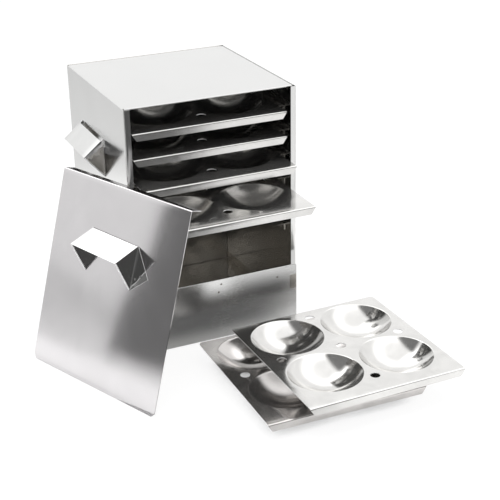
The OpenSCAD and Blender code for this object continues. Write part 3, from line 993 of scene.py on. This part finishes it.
def floor_material():
    """White paper: it glows a little for the eye, and still takes the object's shadow."""
    material, tree = blank_material("white_paper_floor")
    eye = ray_is(tree, "Is Camera Ray")
    mirror = ray_is(tree, "Is Glossy Ray", "Is Transmission Ray")
    place = node(tree, "ShaderNodeTexCoord").outputs["Object"]
    away = node(tree, "ShaderNodeVectorMath", {0: place}, operation="LENGTH")
    far = node(tree, "ShaderNodeMapRange", {
        "Value": away.outputs["Value"], "From Min": 0.45, "From Max": 0.65, "To Min": 0.9,
        "To Max": 0.62}, interpolation_type="SMOOTHSTEP")
    paper = node(tree, "ShaderNodeMix", {"Factor": eye, "A": far.outputs["Result"], "B": 0.14},
                 data_type="FLOAT")
    to_mirror = node(tree, "ShaderNodeMath", {0: mirror, 1: 0.05}, operation="MULTIPLY")
    # The glow sinks where the object stands close over the paper, so a soft shadow stays.
    shut = node(tree, "ShaderNodeAmbientOcclusion", {"Distance": SHADOW_REACH}, samples=6)
    open_share = node(tree, "ShaderNodeMapRange", {
        "Value": shut.outputs["AO"], "From Min": 0.0, "From Max": 0.4, "To Min": 0.2,
        "To Max": 0.9}, interpolation_type="SMOOTHSTEP")
    to_eye = node(tree, "ShaderNodeMath", {0: eye, 1: open_share.outputs["Result"]},
                  operation="MULTIPLY")
    strength = node(tree, "ShaderNodeMath", {0: to_mirror.outputs["Value"],
                                             1: to_eye.outputs["Value"]}, operation="ADD")
    white = node(tree, "ShaderNodeCombineColor", {
        key: paper.outputs["Result"] for key in ("Red", "Green", "Blue")})
    lit = node(tree, "ShaderNodeBsdfDiffuse", {"Color": white.outputs["Color"]})
    glow = node(tree, "ShaderNodeEmission", {"Strength": strength.outputs["Value"]})
    both = node(tree, "ShaderNodeAddShader", {0: lit.outputs["BSDF"],
                                              1: glow.outputs["Emission"]})
    node(tree, "ShaderNodeOutputMaterial", {"Surface": both.outputs["Shader"]})
    return material


def studio_world(scene):
    """White to the eye, and to mirrors a soft tent that grows brighter overhead."""
    scene.world = bpy.data.worlds.new("studio_world")
    scene.world.use_nodes = True
    tree = scene.world.node_tree
    tree.nodes.clear()
    place = node(tree, "ShaderNodeTexCoord").outputs["Generated"]
    height = node(tree, "ShaderNodeSeparateXYZ", {0: place}).outputs["Z"]
    lobe = node(tree, "ShaderNodeVectorMath", {0: place, 1: LOBE_WAY}, operation="DOT_PRODUCT")
    # The tent's wall, its roof, a bright lobe behind the steamer, and a dimmer top.
    bands = [(height, 0.05, 0.28, 1.0, 1.2), (height, 0.55, 0.8, 0.0, 0.9),
             (lobe.outputs["Value"], 0.9, 0.97, 0.0, 1.0), (height, 0.8, 0.95, 0.0, -0.72)]
    strength = 0.0
    for value, low, high, start, end in bands:
        band = node(tree, "ShaderNodeMapRange", {
            "Value": value, "From Min": low, "From Max": high, "To Min": start, "To Max": end},
            interpolation_type="SMOOTHSTEP")
        strength = node(tree, "ShaderNodeMath", {0: strength, 1: band.outputs["Result"]},
                        operation="ADD").outputs["Value"]
    white, soft = (node(tree, "ShaderNodeBackground", {"Strength": share,
                                                       "Color": (1, 1, 1, 1)})
                   for share in (1.0, strength))
    choice = node(tree, "ShaderNodeMixShader", {
        0: ray_is(tree, "Is Glossy Ray", "Is Transmission Ray"),
        1: white.outputs["Background"], 2: soft.outputs["Background"]})
    node(tree, "ShaderNodeOutputWorld", {"Surface": choice.outputs["Shader"]})


def rectangle(corner, first, second):
    """Four corners, from one corner and its two sides."""
    corner, first, second = Vector(corner), Vector(first), Vector(second)
    return [corner, corner + first, corner + first + second, corner + second]


def stage_sheet(name, corners, material, only_mirrors=True):
    """A flat stage piece, mostly one that nothing but reflections sees."""
    mesh = bpy.data.meshes.new(name)
    mesh.from_pydata([tuple(c) for c in corners], [], [(0, 1, 2, 3)])
    mesh.materials.append(material)
    sheet = placed(name, mesh)
    if only_mirrors:
        sheet.visible_camera = False
        sheet.visible_diffuse = False
        sheet.visible_shadow = False
        sheet.visible_transmission = False


# Soft-edged sheets for mirrors: (name, brightness, one-sided, corners, fades).
SHADES = [
    # In front, the floor fades softly to dark where the front sheets mirror it.
    ("floor_edge", 0.12, False,
     rectangle(EDGE_ACROSS * -0.15 + EDGE_ALONG * 0.05 + PAPER_LIFT, EDGE_ALONG * 2.95,
               EDGE_ACROSS * -2.05),
     [(EDGE_ACROSS, -0.19, -0.31), (EDGE_ALONG, 0.1, 0.4)]),
    # The floor is dim in the corner between the door, the tank and the loose trays.
    ("corner_shade", 0.13, False,
     rectangle(PAPER_LIFT + Vector((-0.16, -0.36, 0)), X * 0.31, Y * 0.25),
     [(X, 0.14, 0.04), (Y, -0.36, -0.26), (Y, -0.11, -0.15)]),
    # A dark panel overhead at the left, which the cups' right sides mirror.
    ("high_panel", 0.2, False, rectangle((-1.6, -1.1, 1.2), X * 1.4, Y * 1.7),
     [(X, -0.2, -0.45), (Y, 0.5, 0.1)]),
    # Glowing sheets that only mirrors see: a painted soft bright spot and a paler painted band in
    # the tank front's reflection.
    ("tank_spot_card", 1.25, True, rectangle((-0.03, -0.13, 0.085), X * 0.08, Z * -0.055),
     [(X, -0.02, 0.002), (X, 0.042, 0.012), (Z, 0.036, 0.064)]),
    ("tank_band_card", 0.95, True, rectangle((-0.01, -0.131, 0.085), X * 0.14, Z * -0.055),
     [(X, 0.0, 0.04), (Z, 0.04, 0.07)]),
    # A glowing, paler patch before the front left flag: a painted reflection in the bay's right
    # side, which mirrors it.
    ("bay_card", 1.8, False, rectangle((-0.52, -1.5, 0.5), (-0.28, 0.31, 0), Z * 0.36),
     [(X, -0.55, -0.6), (Z, 0.55, 0.65), (Z, 0.86, 0.78)]),
    # A small glowing sheet between the loose trays: a painted highlight in the lower one's near
    # cup, which mirrors it.
    ("cup_card", 1.4, True, rectangle((0.008, -0.266, 0.0402), Y * 0.02, X * 0.022),
     [(X, 0.013, 0.019), (X, 0.025, 0.02), (Y, -0.264, -0.258), (Y, -0.25, -0.256)]),
    # A glowing white sheet on the floor ahead at the right: a painted reflection in the right ends
    # of the tray lips, which mirror them.
    ("lip_card", 1.18, False, rectangle((-0.05, -1.8, 0.0012), X * 1.25, Y * 1.35),
     [(LIP_WAY, -0.09, 0.005), (Y, -0.48, -0.56)]),
]

# Dark flags stand round the camera's side, and only mirrors see them: (name, start and end on
# the floor, height, brightness low down, brightness at the head, hem).
FLAGS = [
    ("flag_left", (-0.49, -0.037), (-0.98, -1.0), 0.9, 0.2, 0.2, 0.03),
    ("flag_front_left", (-0.98, -1.0), (-0.3, -1.75), 1.6, 0.12, 0.3, 0.0),
    ("flag_front_right", (-0.3, -1.75), (0.9, -1.6), 1.0, 0.12, 0.8, 0.0),
]


class STEAMER_OT_stage(Operator):
    """Makes the white floor, the soft lamp, the dark flags, the world and the camera"""
    bl_idname = "steamer.stage"
    bl_label = "Studio"

    def execute(self, context):
        scene, studio = context.scene, context.scene.studio_settings
        stage_sheet("floor", rectangle((-FLOOR_REACH, -FLOOR_REACH, 0), X * 2 * FLOOR_REACH,
                                       Y * 2 * FLOOR_REACH), floor_material(), False)
        for name, tone, one_sided, corners, fades in SHADES:
            stage_sheet(name, corners, soft_material(name + "_cloth", tone, fades, one_sided))
        for name, start, end, height, foot, head, hem in FLAGS:
            start, end = Vector((*start, 0)), Vector((*end, 0))
            stage_sheet(name, rectangle(start, end - start, Z * height),
                        cloth_material(name + "_cloth", foot, head, hem))
        studio_world(scene)
        light = bpy.data.lights.new("top_light", "AREA")
        light.size, light.energy = LAMP_SIZE, studio.key
        lamp = placed("top_light", light)
        lamp.location.z = LAMP_HEIGHT
        lamp.visible_glossy = False
        camera = bpy.data.cameras.new("camera")
        camera.lens, camera.sensor_width = studio.lens, SENSOR_W
        camera.clip_start, camera.clip_end = 0.05, 30.0
        view = placed("camera", camera)
        view.matrix_world = camera_matrix()
        scene.camera = view
        scene.view_settings.view_transform = "Standard"
        return {"FINISHED"}


class STEAMER_PT_panel(Panel):
    """Lists the steps that dress the steamer"""
    bl_label = "Idli steamer"
    bl_space_type = "VIEW_3D"
    bl_region_type = "UI"
    bl_category = "Steamer"

    def draw(self, context):
        for step in STEPS:
            self.layout.operator(step.bl_idname)


GROUPS = {"sheet_sizes": SheetSizes, "tray_sizes": TraySizes, "steel_colours": SteelColours,
          "studio_settings": StudioSettings}
STEPS = [STEAMER_OT_cabinet, STEAMER_OT_handles, STEAMER_OT_door, STEAMER_OT_trays,
         STEAMER_OT_stage]


def register():
    for group in GROUPS.values():
        bpy.utils.register_class(group)
    for name, group in GROUPS.items():
        setattr(bpy.types.Scene, name, PointerProperty(type=group))
    for step in STEPS + [STEAMER_PT_panel]:
        bpy.utils.register_class(step)


def unregister():
    for step in [STEAMER_PT_panel] + STEPS[::-1]:
        bpy.utils.unregister_class(step)
    for name, group in GROUPS.items():
        delattr(bpy.types.Scene, name)
        bpy.utils.unregister_class(group)


def main():
    register()
    bpy.ops.steamer.cabinet()
    bpy.ops.steamer.handles()
    bpy.ops.steamer.door()
    bpy.ops.steamer.trays()
    bpy.ops.steamer.stage()


if __name__ == "__main__":
    main()
